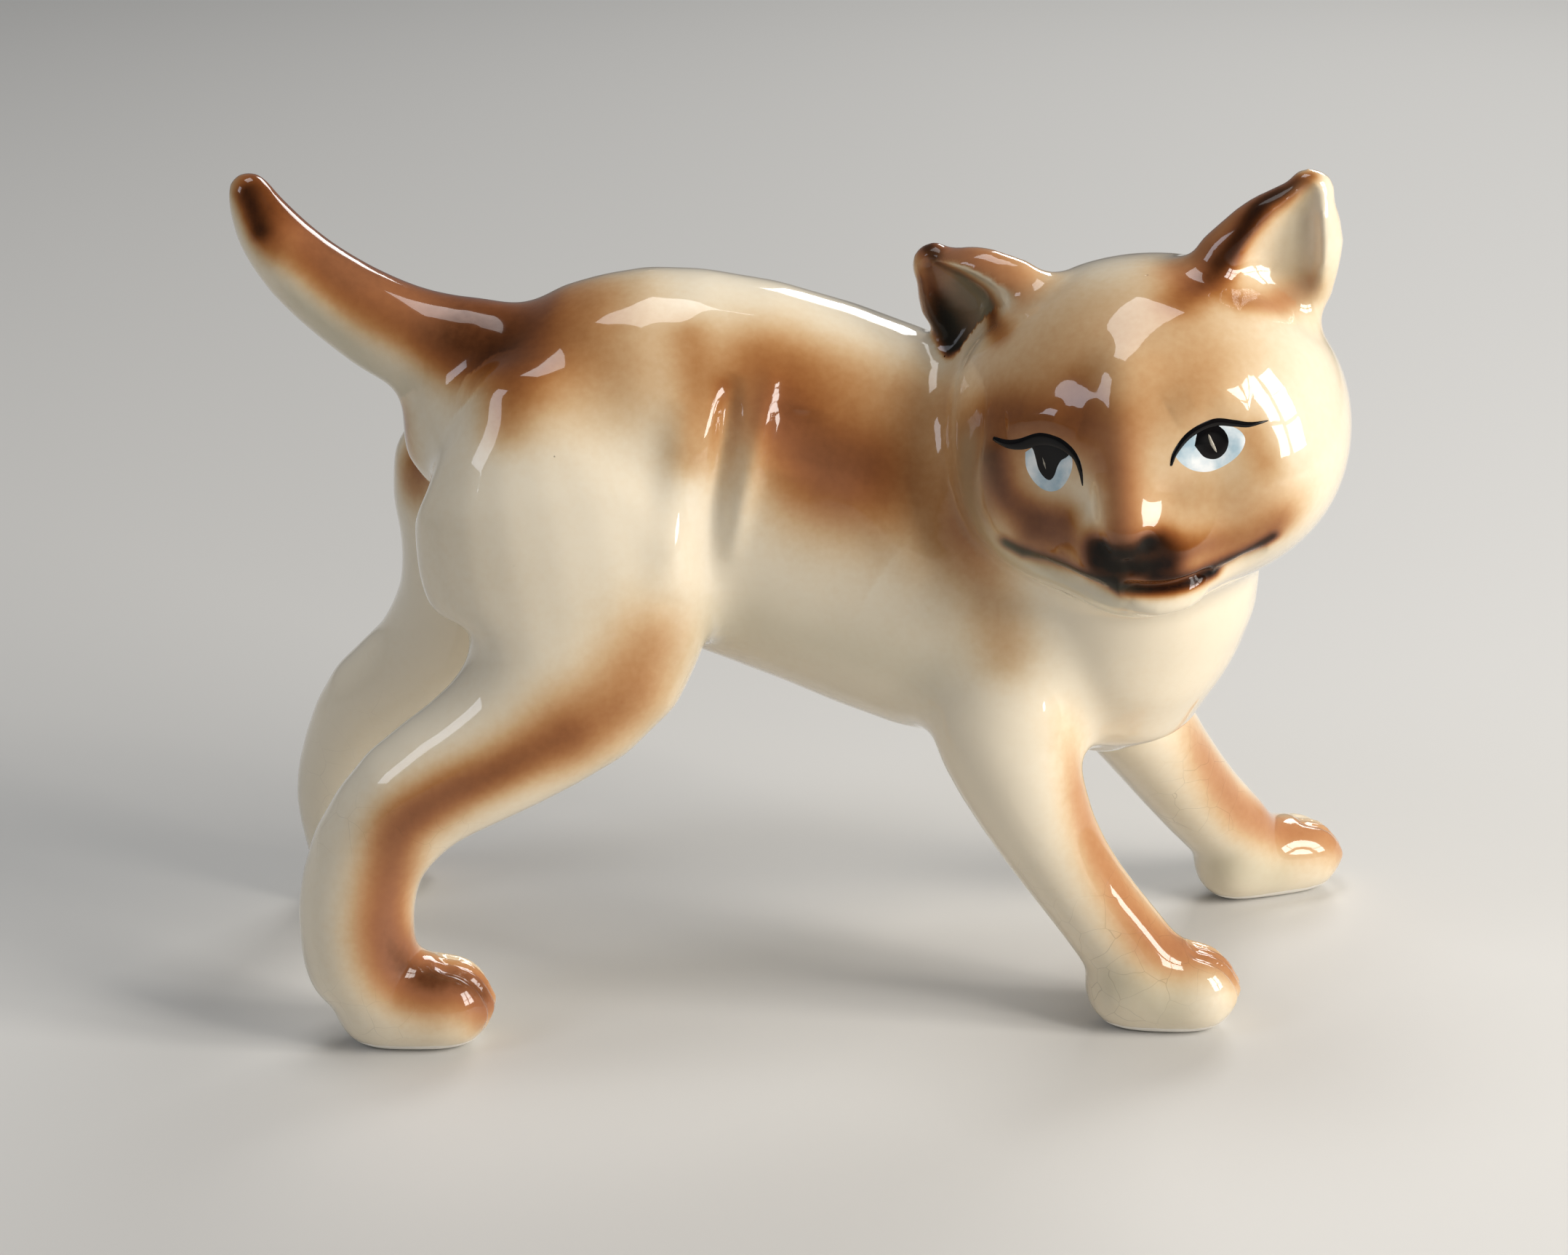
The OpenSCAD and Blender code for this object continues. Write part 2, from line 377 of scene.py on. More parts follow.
press(on_head([(17, -7)]), 7.5, 0.9, head)
press(on_head([(-15.5, 7.6), (-9.5, 8.6), (-5, 7)]), 2.2, 0.6, head, 0.3)
press(on_head([(7.5, 7.5), (12, 8.8), (17.5, 7.5)]), 2.4, 0.5, head, 0.3)
write_points(points)
normals = read_normals()
skin_tree = grow_tree()
# the step under the muzzle's edge, the mouth slit and the lower lip
press(on_head([(-16, -11.3), (-12.5, -13.3), (-7, -14.9), (-2.5, -16.2)]), 1.7, -1.0, head, 0.2)
press(on_head([(-2.2, -14.8), (2.2, -16), (6, -16.2), (10.2, -15.8)]), 1.15, -1.6, head, 0.15)
press(on_head([(-1.5, -18.2), (3, -19.1), (8.5, -18.8)]), 1.7, 0.9, head, 0.3)
press(on_head([(8, -16.2), (12, -15.9), (17, -14.2)]), 1.5, -0.7, head, 0.3)
# nostrils, the groove under the nose and a soft edge beside the nose's ridge
press(on_head([(-3.3, -8.9)]), 1.3, -0.35, head)
press(on_head([(2.7, -8.8)]), 1.3, -0.35, head)
press(on_head([(-0.3, -10.5), (0, -13.4)]), 0.9, -0.4, head, 0.2)
press(on_head([(-2.8, 1), (-3.1, -5.5)]), 1.0, 0.3, head, 0.3)
write_points(points)
normals = read_normals()
skin_tree = grow_tree()

spray(stain, on_head([(-14, 13), (-6, 17), (3, 18), (10, 14)]), 12, 0.26, head)
spray(stain, on_head([(-14, 6), (-6, 9), (2, 10), (9, 9)]), 8, 0.2, head)
spray(stain, on_head([(-4.5, 12), (-3.6, 7.5), (-2.6, 3)]), 3.6, 0.26, head)
spray(stain, on_head([(0.5, 7), (0.3, 0), (0, -6)]), (4, 3.4, 3.4), (0.25, 0.42, 0.5), head)
spray(stain, on_head([(-18, 8.5), (-11, 8.8), (-6, 7.4)]), 3.6, 0.34, head)
spray(stain, on_head([(-18, 3.0), (-16.8, -2), (-13, -5.0), (-9, -5.6)]), 3.0, 0.55, head)
spray(stain, on_head([(-14, -8), (-9, -9)]), 3.0, 0.5, head)
spray(stain, on_head([(7, -4), (12, -5.5), (17, -7), (20, -9)]), 5.0, 0.26, head)
spray(stain, on_head([(6, -10.5), (13, -11.5), (19, -10.5)]), 2.8, (0.6, 0.45, 0.3), head)
spray(stain, on_head([(18.5, -1), (17.5, 2)]), 3.0, 0.25, head)
spray(stain, on_head([(-4.6, -8.8), (0, -9.6), (4, -9)]), 2.3, 0.85, head)
spray(stain, on_head([(-4.6, -11), (0, -12), (4.8, -12)]), 2.4, 0.92, head)
spray(stain, on_head([(-18, -9.4), (-13, -11.6), (-8, -12.8), (-3, -14)]), (1.2, 1.8, 1.4, 2.0), 0.97, head)
spray(stain, on_head([(3, -13.8), (9, -14.6), (13.5, -14), (18, -12.4)]), (2.0, 1.6, 1.5, 1.2), 0.85, head)
spray(stain, on_head([(-2.6, -14.8), (2.2, -16.1), (6, -16.3), (10, -15.8)]), 1.15, 0.95, head)
spray(stain, on_head([(-3.3, -8.9)]), 1.2, 0.98, head)
spray(stain, on_head([(2.7, -8.8)]), 1.2, 0.98, head)
# painted shade: grey-green down the unlit right edge of the face and under the jaw
spray(pool, on_head([(-22, 4), (-21.5, -8), (-14, -15), (-4, -19)]), 3.6, 0.8, head)
spray(stain, on_head([(-22, 6), (-21.5, -4)]), 3.0, 0.25, head)
spray(rose, on_head([(0, -4), (0, 4)]), 5, 0.5, head)


# ---------------------------------------------------------------- torso
# The body is one hollow casting. The crease in front of the thigh, a shallow hollow and a low fold are modelled on
# its right flank, and caramel is airbrushed in patches on the flanks, the rump and the root of the tail.
torso = part["torso"]
flank = (0, -1, 0)
press([(-18, -18, 96), (-19, -22, 88), (-20, -23, 78), (-21, -24, 68)], 3.0, 1.1, None, 0.25, flank)
press([(-12, -15, 98), (-13.2, -20, 89), (-14.6, -20, 80), (-15.5, -19.5, 68)], (1.5, 1.7, 1.9, 2.2),
      (-1.4, -1.6, -1.0, -0.5), None, 0.15, flank)
press([(-6.5, -14, 99), (-8.5, -18, 90), (-11, -20, 80), (-12.5, -20, 72)], 1.5, 0.8, None, 0.25, flank)
press([(-2, -17, 94), (-4, -19, 85)], 3.6, -0.8, None, 0.2, flank)
press([(0, -19, 84), (8, -18.5, 78), (15, -18.5, 70)], 3.0, 0.6, None, 0.25, flank)
spray(stain, [(-50, -3, 99), (-45, -8, 98), (-42, -13, 96), (-43, -17, 92)], (6, 7, 6, 4.5), (0.5, 0.5, 0.44, 0.3))
spray(stain, [(-50, 4, 99), (-45, 9, 98), (-42, 14, 94)], (6, 6, 5), 0.5)
spray(stain, [(-42, -2, 104), (-33, -6, 105)], 10, 0.34)
spray(stain, [(-38, -14, 98), (-28, -16, 98)], 9, 0.24)
spray(stain, [(-18, -12, 102), (-17, -18, 96), (-18, -22, 88)], 3.6, 0.28, None, 0, flank)
spray(stain, [(-24, -25, 62), (-28, -28, 54), (-34, -29, 50)], 7, 0.3, None, 0, flank)
spray(stain, [(-9, -13, 98), (-3, -17, 93), (3, -18, 86), (12, -17, 83), (20, -17, 80)], (7, 9, 11, 12, 10),
      (0.45, 0.5, 0.46, 0.42, 0.4), None, 0, flank)
spray(stain, [(-5, -18, 92), (-1, -18, 86), (6, -18, 85)], (5, 7, 6), 0.34, None, 0, flank)
spray(stain, [(-2, -12, 99), (10, -12, 95), (20, -12, 92)], 6, 0.22, None, 0, flank)
spray(stain, [(-13, -17, 97), (-13.5, -20, 88), (-14.4, -20, 80)], 1.8, (0.3, 0.3, 0.04), None, 0, flank)
spray(rose, [(-8, -17, 92), (-2, -18, 86), (2, -18, 83)], 5, 0.4)
spray(stain, [(-10, 17, 95), (0, 19, 88), (12, 18, 82)], (8, 12, 11), (0.42, 0.5, 0.36), None, 0, (0, 1, 0))
spray(stain, [(-38, 14, 98), (-30, 16, 98)], 8, 0.28)
spray(stain, [(22, -20, 76), (24, -20, 68), (26, -22, 60)], 5, 0.24)
spray(stain, [(-46, 9, 93), (-48, 12, 85)], 5.5, 0.7)
spray(stain, [(-56, 0, 86), (-57.5, 5, 80), (-59, 7, 76)], (5, 5.5, 4.5), (0.7, 0.8, 0.45))
# painted shade: grey-green sprayed on the downward-facing underside of the belly
spray(pool, [(-20, -15, 64), (0, -15, 60), (20, -17, 54)], 6, 0.4, None, 0, (0, -0.3, -1))


# ---------------------------------------------------------------- tail
# The tail is a solid tapering roll of clay. It is caramel along the top and cream under, with grey-green painted
# shade along its underside and a darker streak that the airbrush left at the tip.
tail = part["tail"]
upper = (0, -0.15, 1)
spray(stain, [(-43, -3, 100), (-53, 0, 104), (-61, 1, 108), (-69, 2, 113), (-77, 3, 120)], (8, 7, 6.5, 5.5, 5),
      0.52, None, 0, upper)
spray(stain, [(-46, -8, 97), (-55, -4, 100), (-64, -3, 105), (-72, -1, 111)], (4, 4, 3.6, 3), 0.42, tail | torso)
spray(stain, [(-47, 7, 98), (-56, 5, 102), (-66, 5, 108), (-75, 5, 116)], (5, 5, 4.6, 4), 0.4, tail | torso)
spray(stain, [(-79, -1, 115), (-80.5, 1, 120)], 1.8, 0.8, tail)
spray(stain, [(-77, -1, 113), (-78, 0, 121), (-79, 3, 124)], 3.0, 0.45, tail)
spray(rose, [(-50, -3, 100), (-61, -1, 106), (-72, 1, 114)], 4, 0.35, tail)
# painted shade: grey-green along the tail's underside
spray(pool, [(-52, 0, 91), (-62, 1, 98), (-72, 2, 106)], 4, 0.7, tail, 0, (-0.3, 0, -1))


# ---------------------------------------------------------------- hind legs
# A caramel band is airbrushed down each hind leg, from the knee across the shank to the toes. It is thickest on
# the shank and on the paw's top, and it turns pinkish towards the ankle.
for side, layer_path in {
        "right_hind_leg": [(-27, -28, 56), (-36, -30, 50), (-45, -31, 45), (-53, -31, 41), (-59, -31, 36),
                           (-60.5, -31, 28), (-60.5, -31, 20), (-58, -29, 14), (-52, -27, 11), (-48, -26, 9)],
        "left_hind_leg": [(-44, 27, 53), (-50, 28, 48), (-57, 28, 43), (-64, 30, 37), (-68, 31, 29), (-69, 31, 22),
                          (-69, 31, 16), (-69, 32, 12), (-66, 35, 10), (-64, 36, 8)]}.items():
    leg = part[side]
    spray(stain, layer_path, (7, 6, 5, 4.6, 4.8, 5, 5.4, 6, 6, 5.6),
          (0.2, 0.34, 0.42, 0.46, 0.46, 0.44, 0.46, 0.5, 0.5, 0.45), leg)
    spray(stain, layer_path[1:], (3, 3, 3, 3, 3, 3.4, 3.8, 4, 4),
          (0.15, 0.3, 0.34, 0.34, 0.22, 0.28, 0.5, 0.66, 0.6), leg)
    spray(rose, layer_path[3:], 6, (0.2, 0.7), leg)


# ---------------------------------------------------------------- forelegs
# The forelegs are solid and stay mostly cream. Their front edges and the tops of their paws are caramel, and the
# clear glaze has pooled grey-green behind the ankles.
for side, layer_path in {
        "right_foreleg": [(34, -20, 48), (38, -21, 34), (44, -22, 22), (49, -22, 15), (55, -19, 12), (60, -18, 9)],
        "left_foreleg": [(54, 10, 38), (60, 14, 29), (66, 19, 19), (71, 24, 14), (77, 28, 11), (82, 31, 8)]}.items():
    leg = part[side]
    spray(stain, layer_path, (4, 4, 4, 4.4, 5, 4.6), (0.12, 0.34, 0.38, 0.42, 0.48, 0.42), leg, 0, (0.5, -0.4, 0.7))
    spray(rose, layer_path, 5, 0.6, leg)
    spray(pool, [layer_path[3] - np.array((6, 3, 6)), layer_path[4] - np.array((4, 5, 6))], 4, 0.7, leg)


# ---------------------------------------------------------------- ears
# Each ear is a folded leaf of clay. Its inner edge is a thick dark ridge, its back is caramel, and its hollow opens
# outwards: the right one, turned away from the light, is sprayed almost black with a grey-green wall as painted
# shade; the left one stays cream with a tan floor.
def at_head(places):
    """Places on the head's own axes."""
    return [face_to_figure(place) for place in places]


def head_way(way):
    """A way on the head's own axes."""
    return face_to_figure(way) - face_to_figure((0, 0, 0))


crown = head | ears
outward_right, outward_left = head_way((0.45, -0.9, 0)), head_way((0.45, 0.9, 0))
inward_right = head_way((0.35, 0.8, 0.5))
hollow_right = at_head([(6, -21, 11), (0.5, -24.5, 13.6), (-0.2, -25.7, 17.5), (0.3, -27.4, 24.1)])
wall_right = at_head([(7, -18.5, 14), (4, -20.5, 18), (1.5, -23.5, 22.5)])
medial_right = at_head([(-0.5, -24, 28), (3.1, -19.7, 26.7), (4.9, -14.5, 23.1), (7, -10, 20)])
# painted shade: the right ear's hollow and outward wall are sprayed near-black and grey-green
spray(stain, hollow_right, (3.6, 4.6, 4.4, 2.6), (0.9, 0.97, 0.95, 0.8), part["right_ear"])
spray(stain, wall_right, (3.6, 3.4, 2.4), (0.62, 0.66, 0.6), part["right_ear"], 0, outward_right)
spray(pool, wall_right, 3.4, 0.7, part["right_ear"], 0, outward_right)
wipe(stain, medial_right, 4.5, 0.95, crown, inward_right)
spray(stain, medial_right, (4, 5.5, 6, 6), (0.62, 0.56, 0.42, 0.2), crown, 0, inward_right)
spray(rose, medial_right[:3], 5, 0.5, crown)
spray(stain, at_head([(-1, -27, 28.6), (0.5, -24.8, 26.1), (2, -21.6, 22), (4.6, -18.1, 17.9), (9, -15.5, 16.5)]),
      (2.0, 1.3, 1.4, 1.7, 2.2), (0.8, 0.7, 0.7, 0.6, 0.35), crown)
wipe(stain, at_head([(-1.6, -29.6, 25), (-2.5, -30, 19), (-2, -28.5, 12)]), 1.1, 0.9, part["right_ear"])
hollow_left = at_head([(-0.2, 25.3, 17.2), (-0.5, 23.5, 22), (-0.4, 26.2, 29)])
spray(pool, hollow_left, (4.5, 4, 2), 0.55, part["left_ear"], 0, outward_left)
spray(stain, at_head([(-0.2, 25, 17), (4, 21.5, 17.5), (7.6, 16.5, 18)]), 2.4, (0.3, 0.3, 0.42), crown)
spray(rose, at_head([(-0.2, 25, 17), (5, 21, 17)]), 3, 0.7, crown)
spray(stain, at_head([(-2, 23, 31), (0, 17.5, 28), (2, 13, 25), (4, 9, 22)]), (3, 4, 4.5, 5),
      (0.5, 0.5, 0.45, 0.36), crown)
spray(rose, at_head([(0, 17.5, 28), (2, 13, 25), (4, 9, 22)]), 4, 0.4, crown)
spray(stain, at_head([(-0.4, 27.2, 32.2), (0.6, 24.4, 31.2), (2.2, 20.7, 29.8), (4.2, 17.5, 26.3), (5.1, 14.8, 23.1),
                      (7.3, 11.6, 20.7), (10.5, 8.6, 18)]),
      (1.3, 1.9, 2.3, 2.3, 2.6, 3.2, 3.4), (0.5, 0.85, 0.92, 0.9, 0.8, 0.6, 0.4), crown)
spray(stain, at_head([(-9, -20, 16), (-12, -6, 18), (-12, 6, 18), (-9, 20, 16)]), 9, 0.3, crown)


# ---------------------------------------------------------------- paws
# Three grooves part the toes of each paw, and the glaze is wiped off the soles before firing.
paws = {"right_foreleg": ((55.5, -17.8), 0.0, 6.6), "left_foreleg": ((78.0, 32.4), 20.0, 6.2),
        "right_hind_leg": ((-53.5, -23.1), 0.0, 6.8), "left_hind_leg": ((-68, 32.6), 48.0, 5.9)}
for side, (tip, way, half) in paws.items():
    ahead = np.array((math.cos(math.radians(way)), math.sin(math.radians(way))))
    across = np.array((-ahead[1], ahead[0]))
    for groove in (-1, 0, 1):
        path = []
        for far, up in ((-2.0, 12.5), (2.5, 10.5), (5.6, 7.5), (6.6, 2.5)):
            flat = np.array(tip) + ahead * far + across * groove * half * (0.30 + 0.012 * far)
            path.append((flat[0], flat[1], up))
        press(path, 0.9, -0.85, part[side], 0.12)
    for toe in (-1.5, -0.5, 0.5, 1.5):
        flat = np.array(tip) + ahead * 6.0 + across * toe * half * 0.36
        press([(flat[0], flat[1], 5.5)], 1.9, 0.45, part[side])

# a wet brush is run once more along the seams where the head, the ears and the legs were luted on
legs = ~(part["head"] | ears | torso | part["tail"])
low_seam = np.where(points[:, 2] < 60, joint_reach(legs, torso), 30)
seam = np.minimum(np.minimum(joint_reach(part["head"], torso), joint_reach(ears, torso)), low_seam)
rows = np.nonzero(seam < 6)[0]
points = sponge(points, 70, 0.5 * np.exp(-(seam[rows] / 2.6) ** 2).astype(np.float32), rows)
stain = sponge(stain[:, None], 5, 0.6 * np.exp(-(seam[rows] / 2.2) ** 2).astype(np.float32), rows)[:, 0]
points = even(points, 3, 0.3)
points[:, 2] = np.maximum(points[:, 2], 0)
write_points(points)
normals = read_normals()
low_edge = np.clip(1 - (points[:, 2] - 0.8) / 1.4, 0, 1)
bare = np.maximum(bare, low_edge)

# the glaze reads these values at each point
for label, layer in zip(("stain", "rose", "pool", "bare"), (stain, rose, pool, bare)):
    skin.data.attributes.new(label, "FLOAT", "POINT").data.foreach_set("value", layer.astype(np.float32))
skin.data.attributes.new("section", "FLOAT", "POINT").data.foreach_set("value", owner.astype(np.float32))
skin.data.attributes.new("true_normal", "FLOAT_VECTOR", "POINT").data.foreach_set("vector", normals.ravel())


# ---------------------------------------------------------------- glaze
# The finish is underglaze browns airbrushed on cream slip, fired under a thick clear glaze. The glaze is crazed and
# pinholed in places, pools grey-green where it lies thick, and is wiped off the soles. The same grey-green is also
# painted as shade under the belly, the tail and the jaw, and in the right ear.
class Wire:
    """One socket of a material. Arithmetic on it adds Math nodes."""

    def __init__(self, tree, socket):
        self.tree, self.socket = tree, socket

    def math(self, operation, *others):
        sockets = {0: self, **dict(enumerate(others, 1))}
        return Wire.node(self.tree, "ShaderNodeMath", {"operation": operation}, sockets)

    @staticmethod
    def node(tree, kind, settings, inputs, output=0):
        made = tree.nodes.new(kind)
        for name, value in settings.items():
            if name == "stops":
                ramp = made.color_ramp
                while len(ramp.elements) < len(value):
                    ramp.elements.new(1.0)
                for stop, (place, colour) in zip(ramp.elements, value):
                    stop.position, stop.color = place, colour
            elif name == "easing":
                made.color_ramp.interpolation = value
            else:
                setattr(made, name, value)
        for name, value in inputs.items():
            if isinstance(value, Wire):
                tree.links.new(value.socket, made.inputs[name])
            else:
                made.inputs[name].default_value = value
        return Wire(tree, made.outputs[output])

    def __add__(self, other):
        return self.math("ADD", other)

    def __sub__(self, other):
        return self.math("SUBTRACT", other)

    def __rsub__(self, other):
        return Wire.node(self.tree, "ShaderNodeMath", {"operation": "SUBTRACT"}, {0: other, 1: self})

    def __mul__(self, other):
        return self.math("MULTIPLY", other)

    __radd__, __rmul__ = __add__, __mul__

    def clamped(self):
        """Kept from 0 to 1."""
        return Wire.node(self.tree, "ShaderNodeMath", {"operation": "ADD", "use_clamp": True}, {0: self, 1: 0.0})

    def between(self, low, high):
        """0 below low and 1 above high."""
        return Wire.node(self.tree, "ShaderNodeMapRange", {"interpolation_type": "SMOOTHSTEP"},
                         {"Value": self, "From Min": low, "From Max": high, "To Min": 0.0, "To Max": 1.0})


def paint(html):
    """A named paint's colour, as light."""
    out = []
    for k in (0, 2, 4):
        value = int(html[k:k + 2], 16) / 255
        out.append(value / 12.92 if value < 0.04045 else ((value + 0.055) / 1.055) ** 2.4)
    return (*out, 1.0)


def blank_material(name):
    """A material with only its shader, and a shorthand that adds nodes to it."""
    material = bpy.data.materials.new(name)
    material.use_nodes = True
    tree = material.node_tree
    tree.nodes.clear()
    shader = tree.nodes.new("ShaderNodeBsdfPrincipled")
    out = tree.nodes.new("ShaderNodeOutputMaterial")
    tree.links.new(shader.outputs[0], out.inputs["Surface"])

    def node(kind, settings=(), inputs=(), output=0):
        return Wire.node(tree, kind, dict(settings), dict(inputs), output)
    return material, tree, shader, node


def glaze_material(name):
    material, tree, shader, node = blank_material(name)
    where = node("ShaderNodeTexCoord", output="Object")

    def layer(label):
        return node("ShaderNodeAttribute", {"attribute_name": label}, output="Fac")

    def noise(scale, detail):
        return node("ShaderNodeTexNoise", {}, {"Vector": where, "Scale": scale, "Detail": detail}, "Fac")

    def mix(amount, a, b):
        made = tree.nodes.new("ShaderNodeMix")
        made.data_type = "RGBA"
        for name, value in (("Factor_Float", amount), ("A_Color", a), ("B_Color", b)):
            socket = next(s for s in made.inputs if s.identifier == name)
            if isinstance(value, Wire):
                tree.links.new(value.socket, socket)
            else:
                socket.default_value = value
        return Wire(tree, next(s for s in made.outputs if s.identifier == "Result_Color"))

    cloud, speck, fine = noise(55, 4), noise(900, 2), noise(260, 3)
    patchy = noise(38, 3)
    stained = (layer("stain") + (cloud - 0.5) * 0.3 * (layer("stain") + 0.12) + (patchy - 0.46) * 0.14
               + (speck - 0.5) * 0.07).clamped()
    colour = node("ShaderNodeValToRGB", {"easing": "B_SPLINE", "stops": [
        (0.0, paint("efe5cf")), (0.16, paint("dfc59c")), (0.36, paint("bd8850")), (0.56, paint("8c4d1c")),
        (0.76, paint("552d10")), (0.93, paint("1d0d07")), (1.0, paint("0c0605"))]}, {"Fac": stained})
    thin = stained.between(0.08, 0.35) * (1 - stained.between(0.6, 0.85))
    colour = mix((layer("rose") * thin * 0.55).clamped(), colour, paint("c58a68"))
    # grey-green of thick glaze, also laid on as painted shade
    colour = mix((layer("pool") * 0.55 + (cloud - 0.45) * 0.12).clamped(), colour, paint("a8a486"))
    # crazing: hairlines in the clear glaze, stained a little brown, and only in places
    drift = node("ShaderNodeVectorMath", {"operation": "MULTIPLY_ADD"},
                 {0: node("ShaderNodeTexNoise", {}, {"Vector": where, "Scale": 120.0, "Detail": 2.0}, "Color"),
                  1: (0.004, 0.004, 0.004), 2: where})
    cracks = node("ShaderNodeTexVoronoi", {"feature": "DISTANCE_TO_EDGE"}, {"Vector": drift, "Scale": 210.0},
                  "Distance")
    level = node("ShaderNodeSeparateXYZ", {}, {"Vector": where}, "Z")
    craze = (1 - cracks.between(0.002, 0.012)) * noise(32, 2).between(0.48, 0.66) * (1 - level.between(0.03, 0.06))
    colour = mix(craze * 0.22, colour, paint("5b3f28"))
    # pinholes: tiny burst bubbles that have caught dirt
    dots = node("ShaderNodeTexVoronoi", {"feature": "F1"}, {"Vector": where, "Scale": 110.0}, "Distance")
    holes = (1 - dots.between(0.018, 0.03)) * noise(40, 1).between(0.56, 0.6)
    colour = mix(holes * 0.8, colour, paint("2a1a10"))
    unglazed = (layer("bare") + (fine - 0.5) * 0.5).between(0.42, 0.58)
    colour = mix(unglazed, colour, paint("f6f2ea"))
    tree.links.new(colour.socket, shader.inputs["Base Color"])
    roughness = 0.12 + speck * 0.05 + unglazed * 0.6
    tree.links.new(roughness.socket, shader.inputs["Roughness"])
    clear_coat = (1 - unglazed) * (1 - stained.between(0.6, 0.9) * 0.8)
    tree.links.new(clear_coat.socket, shader.inputs["Coat Weight"])
    shader.inputs["Coat Roughness"].default_value = 0.025
    shader.inputs["Coat IOR"].default_value = 1.46
    shader.inputs["Specular IOR Level"].default_value = 0.08
    shader.inputs["IOR"].default_value = 1.5
    relief = noise(70, 2) * 1.0 - craze * 0.06 - holes * 0.5 + unglazed * fine * 0.25
    bump = node("ShaderNodeBump", {}, {"Height": relief, "Strength": 0.35, "Distance": 0.00035}, "Normal")
    tree.links.new(bump.socket, shader.inputs["Normal"])
    return material


glaze = glaze_material("cream_and_caramel_glaze")
skin.data.materials.clear()
for name in node_names:
    skin.data.materials.append(glaze)

# The skin is parted again where the cast sections met; each part keeps the whole skin's normals.
corners = np.empty(len(skin.data.loops), np.int32)
skin.data.loops.foreach_get("vertex_index", corners)
corner_start = np.empty(len(skin.data.polygons), np.int32)
skin.data.polygons.foreach_get("loop_start", corner_start)
corner_count = np.empty(len(skin.data.polygons), np.int32)
skin.data.polygons.foreach_get("loop_total", corner_count)
section = owner[corners[corner_start]].astype(np.int32)
mesh = bmesh.new()
mesh.from_mesh(skin.data)
mesh.verts.ensure_lookup_table()
# Where two corners of one section would meet only at a point, the faces round that point go to one section.
for _ in range(4):
    spread = np.repeat(section, corner_count)
    lowest, highest = np.full(len(points), 99), np.full(len(points), -1)
    np.minimum.at(lowest, corners, spread)
    np.maximum.at(highest, corners, spread)
    for index in np.nonzero(lowest < highest)[0]:
        vertex = mesh.verts[index]
        around = [section[face.index] for face in vertex.link_faces]
        for number in set(around):
            turns = sum(1 for edge in vertex.link_edges
                        if sum(section[face.index] == number for face in edge.link_faces) == 1)
            if turns > 2:
                keep = max(sorted(set(around)), key=around.count)
                for face in vertex.link_faces:
                    section[face.index] = keep
                break
mesh.free()
skin.data.polygons.foreach_set("material_index", section)
skin.data.update()
bpy.ops.object.select_all(action="DESELECT")
skin.select_set(True)
bpy.context.view_layer.objects.active = skin
bpy.ops.object.mode_set(mode="EDIT")
bpy.ops.mesh.select_all(action="SELECT")
bpy.ops.mesh.separate(type="MATERIAL")
bpy.ops.object.mode_set(mode="OBJECT")
pieces = {}
for piece in bpy.context.selected_objects:
    owned = np.empty(len(piece.data.vertices), np.float32)
    piece.data.attributes["section"].data.foreach_get("value", owned)
    number = int(np.median(owned))
    piece.data.attributes.remove(piece.data.attributes["section"])
    piece.name = "glazed_" + node_names[number]
    piece.data.name = piece.name
    pieces[node_names[number]] = piece
    while len(piece.data.materials) > 1:
        piece.data.materials.pop()

cap_inset = 0.12        # how far in each cap starts, as a share of the way to its middle
for name, piece in pieces.items():
    # each open rim is closed by a cap inside the body
    mesh = bmesh.new()
    mesh.from_mesh(piece.data)
    seen, loops = set(), []
    for edge in mesh.edges:
        if edge in seen or not edge.is_boundary:
            continue
        group, stack = [], [edge]
        seen.add(edge)
        while stack:
            here = stack.pop()
            group.append(here)
            for vertex in here.verts:
                for other in vertex.link_edges:
                    if other.is_boundary and other not in seen:
                        seen.add(other)
                        stack.append(other)
        loops.append(group)
    for group in loops:
        made = bmesh.ops.extrude_edge_only(mesh, edges=group)
        inner = [item for item in made["geom"] if isinstance(item, bmesh.types.BMVert)]
        middle = sum((vertex.co for vertex in inner), Vector()) / len(inner)
        for vertex in inner:
            vertex.co += (middle - vertex.co) * cap_inset
        edges = [item for item in made["geom"] if isinstance(item, bmesh.types.BMEdge)]
        peak = mesh.verts.new(middle)
        for edge in edges:
            a, b = edge.verts
            mesh.faces.new((a, b, peak))
    bmesh.ops.recalc_face_normals(mesh, faces=mesh.faces)
    mesh.to_mesh(piece.data)
    mesh.free()
    kept = np.empty(len(piece.data.vertices) * 3, np.float32)
    piece.data.attributes["true_normal"].data.foreach_get("vector", kept)
    kept = kept.reshape(-1, 3)
    own = np.empty(len(piece.data.vertices) * 3, np.float32)
    piece.data.vertex_normals.foreach_get("vector", own)
    own = own.reshape(-1, 3)
    blank = np.linalg.norm(kept, axis=1) < 0.5
    kept[blank] = own[blank]
    piece.data.shade_smooth()
    piece.data.normals_split_custom_set_from_vertices(kept.tolist())
    piece.data.attributes.remove(piece.data.attributes["true_normal"])
    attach(piece, "root")
    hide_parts(name)


# ---------------------------------------------------------------- eyes
# The eyes are painted in opaque enamels over the glaze: a pale-blue iris, a black pupil with a fine light slit, and
# a black lid line that ends in a wing. Each coat is laid with a fine brush and stands up to a quarter of a
# millimetre proud.
head_tree = BVHTree.FromObject(pieces["head"], bpy.context.evaluated_depsgraph_get())
enamel_root = 0.25      # how far each coat goes into the glaze, mm


def on_glaze(left, up):
    """The place and the way out of the glazed face at (left, up), dropped from in front."""
    start = Vector(face_to_figure((before_face, left, up))) * MM
    place, normal, _, _ = head_tree.ray_cast(start, -face_way)
    return place, normal


